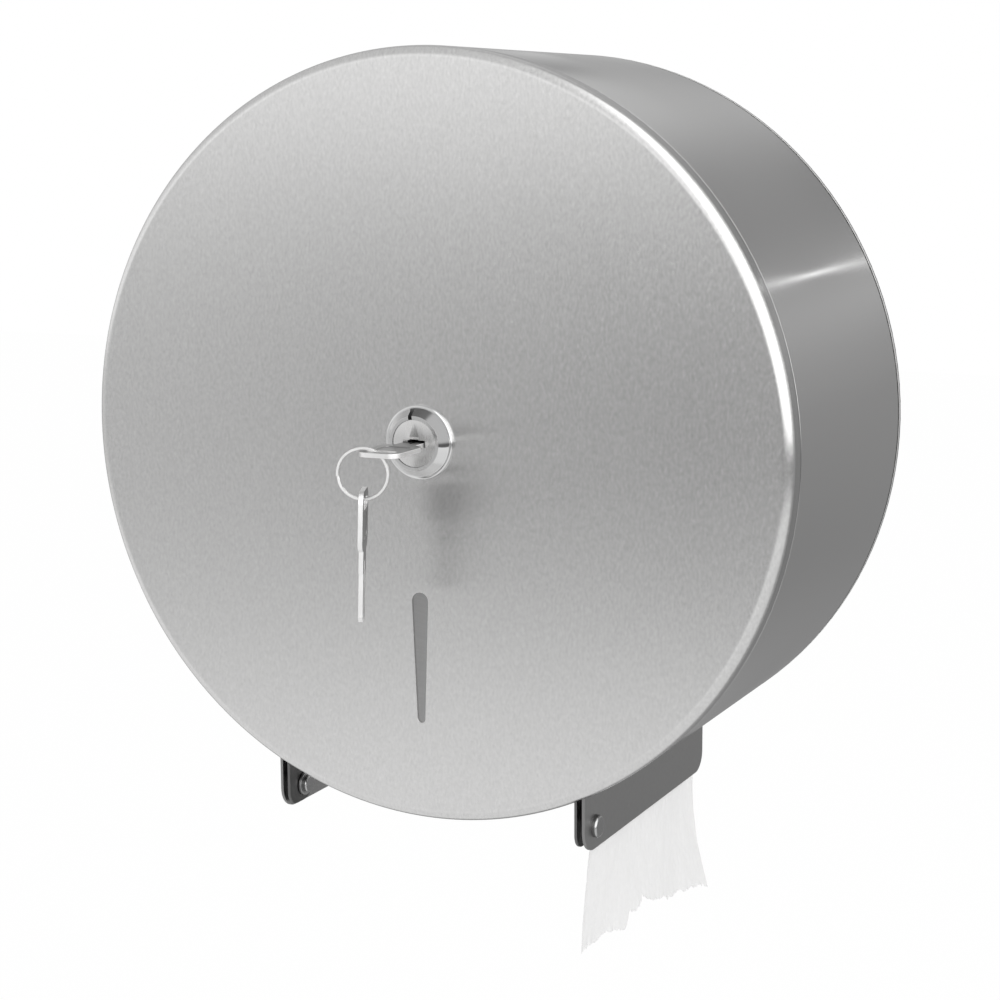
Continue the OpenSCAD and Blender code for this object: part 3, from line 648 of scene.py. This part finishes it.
def headPaint(face):
    # the mark is dark, the gap is painted shade, and a quarter of the bevel has a painted dark
    # reflection
    x, z = fromAxis(face)
    turn = math.degrees(math.atan2(z, x))
    onBevel = (lock["bevel"][0] < math.hypot(x, z) < lock["bevel"][1]
               and lock["tilt"][0] < -face.normal.y < lock["tilt"][1]
               and face.calc_center_median().y < lock["front"])
    if inMark(face) or inGap(face):
        return 1
    return 2 if onBevel and lock["shade"][0] < turn < lock["shade"][1] else 0


# the plug's sides in the gap are painted dark as shade
finishedNode("lock_plug", ["plugNickel", "darkMarkAndShade"], 0.16 * mm, inGap)
finishedNode("lock_barrel", ["chrome", "darkMarkAndShade", "shadeChrome"], 0.12 * mm, headPaint, 25)
print("lock and keys made")


# ---- the roll of paper
roll = {"centre": (0, 0, -rollDrop * mm), "core": 32 * mm, "edge": 1.5 * mm, "flatRing": 1 * mm,
        "steps": 192, "edgeSteps": 6}


def makeRoll():
    low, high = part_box("paper_roll")
    radius, front, back = high.x, low.y, high.y
    flat = radius - roll["edge"]
    inner = flat - roll["flatRing"]
    profile = ([(roll["core"], back), (inner, back)]
               + arc((flat, back - roll["edge"]), roll["edge"], 90, 0, roll["edgeSteps"])
               + arc((flat, front + roll["edge"]), roll["edge"], 0, -90, roll["edgeSteps"])
               + [(inner, front), (roll["core"], front), (roll["core"], back)])
    bm = bmesh.new()
    spinProfile(bm, [(r, y, roll["centre"][2]) for r, y in profile], roll["centre"], (0, 1, 0),
                roll["steps"])
    bmesh.ops.remove_doubles(bm, verts=bm.verts, dist=0.01 * mm)
    bmesh.ops.recalc_face_normals(bm, faces=bm.faces)
    addPiece(bm, "paperRoll", "rollTissue", ["paper_roll"], 40)


makeRoll()


# ---- the loose end of the paper, in mm
tail = {"bend": (57.2, -114.5335), "rollRadius": 100.55, "back": 4.8,
        "width": 98.0, "lean": (0.165, 0.233), "curl": (0.00093, 0.00394), "columns": 330,
        "rows": 100, "rowsCloser": 1.35, "thickness": 0.22, "wave": 0.5, "waves": 1.5,
        "waveReach": 60, "round": 3.0, "freeFrom": 25, "edgeReach": 5,
        "across": [0, 0.07, 0.13, 0.19, 0.28, 0.33, 0.37, 0.41, 0.44, 0.475, 0.53, 0.58,
                   0.65, 0.717, 0.78, 0.86, 0.93, 1],
        "hang": [63, 62.5, 63.2, 62.2, 63.8, 65.2, 59.7, 61.2, 60.1, 57.3, 60.4, 62.1,
                 63.4, 65.7, 65.2, 66.6, 67.4, 69.5]}


def hangAt(c):
    # length below the bend at the share c of the width, with the torn edge's small teeth
    i = max(k for k in range(len(tail["across"]) - 1) if tail["across"][k] <= c)
    a, b = tail["across"][i], tail["across"][i + 1]
    share = (c - a) / (b - a)
    share = share * share * (3 - 2 * share)
    teeth = (0.8 * noise.noise((c * 54, 3.1, 0)) + 0.6 * noise.noise((c * 150, 7.7, 0))
             + 0.35 * noise.noise((c * 420, 1.3, 0)))
    return tail["hang"][i] + (tail["hang"][i + 1] - tail["hang"][i]) * share + teeth


def tailStart():
    # where the sheet leaves the roll, on a tangent to the bend
    bendX, bendZ = tail["bend"]
    fromRoll = math.hypot(bendX, bendZ + rollDrop)
    turn = math.acos(tail["rollRadius"] / fromRoll) + math.atan2(bendZ + rollDrop, bendX)
    return tail["rollRadius"] * math.cos(turn), tail["rollRadius"] * math.sin(turn) - rollDrop


def onTail(run, length, c):
    # the sheet's middle at the distance run from the roll, without the wrinkles
    startX, startZ = tailStart()
    bendX, bendZ = tail["bend"]
    if run < length:
        share = run / length
        return startX + (bendX - startX) * share, startZ + (bendZ - startZ) * share
    drop = run - length
    lean = tail["lean"][0] + (tail["lean"][1] - tail["lean"][0]) * c
    curl = tail["curl"][0] + (tail["curl"][1] - tail["curl"][0]) * c
    phase = 2 * math.pi * tail["waves"] * c + math.radians(3 * drop)
    wave = tail["wave"] * math.sin(phase) * drop / tail["waveReach"]
    return bendX - lean * drop + curl * drop * drop + wave, bendZ - drop


def tailPoint(run, length, c, end):
    # the sheet's middle, rounded over the bend and wrinkled where it hangs free
    reach = [onTail(min(max(run + step * tail["round"] / 2, 0), end), length, c)
             for step in (-1, 0, 1)]
    x = sum(p[0] for p in reach) / 3
    z = sum(p[1] for p in reach) / 3
    free = min(max((run - length) / tail["freeFrom"], 0), 1)
    y = -(tail["back"] + tail["width"] * (1 - c))
    wrinkle = (0.9 * noise.noise((c * 5.5, run * 0.028, 2.0))
               + 0.35 * noise.noise((c * 17, run * 0.1, 5.0))
               + 0.12 * noise.noise((c * 60, run * 0.5, 9.0)))
    nearEdge = max(0, 1 - (end - run) / tail["edgeReach"])
    wrinkle += nearEdge * 0.7 * noise.noise((c * 40, run * 0.2, 12.0))
    return Vector((x + free * wrinkle, y, z)) * mm


def makeTail():
    length = math.dist(tailStart(), tail["bend"])
    columns, rows = tail["columns"], tail["rows"]
    bm = bmesh.new()
    bmesh.ops.create_grid(bm, x_segments=columns, y_segments=rows, size=0.5)
    mapping = bm.loops.layers.uv.new("sheet")
    flatPlace = {}
    for vert in bm.verts:
        c = vert.co.x + 0.5
        end = length + hangAt(c)
        run = (1 - (1 - (vert.co.y + 0.5)) ** tail["rowsCloser"]) * end
        flatPlace[vert.index] = (c * tail["width"] * mm, run * mm)
        vert.co = tailPoint(run, length, c, end)
    for face in bm.faces:
        for loop in face.loops:
            loop[mapping].uv = flatPlace[loop.vert.index]
    bmesh.ops.recalc_face_normals(bm, faces=bm.faces)
    area = sum(face.calc_area() for face in bm.faces)
    ends = [length + hangAt(i / 200) for i in range(201)]
    piece = addPiece(bm, "paperTail", "sheetTissue", ["paper_tail"], 60)
    addModifier(piece, "SOLIDIFY", thickness=tail["thickness"] * mm, offset=0)
    flatArea = sum(ends) / len(ends) * tail["width"] * mm * mm
    print("tail: flat %.1f x %.1f mm, area %.0f of %.0f mm2" % (tail["width"], max(ends),
          area / mm / mm, flatArea / mm / mm))
    max(ends) * mm


makeTail()
print("paper made")
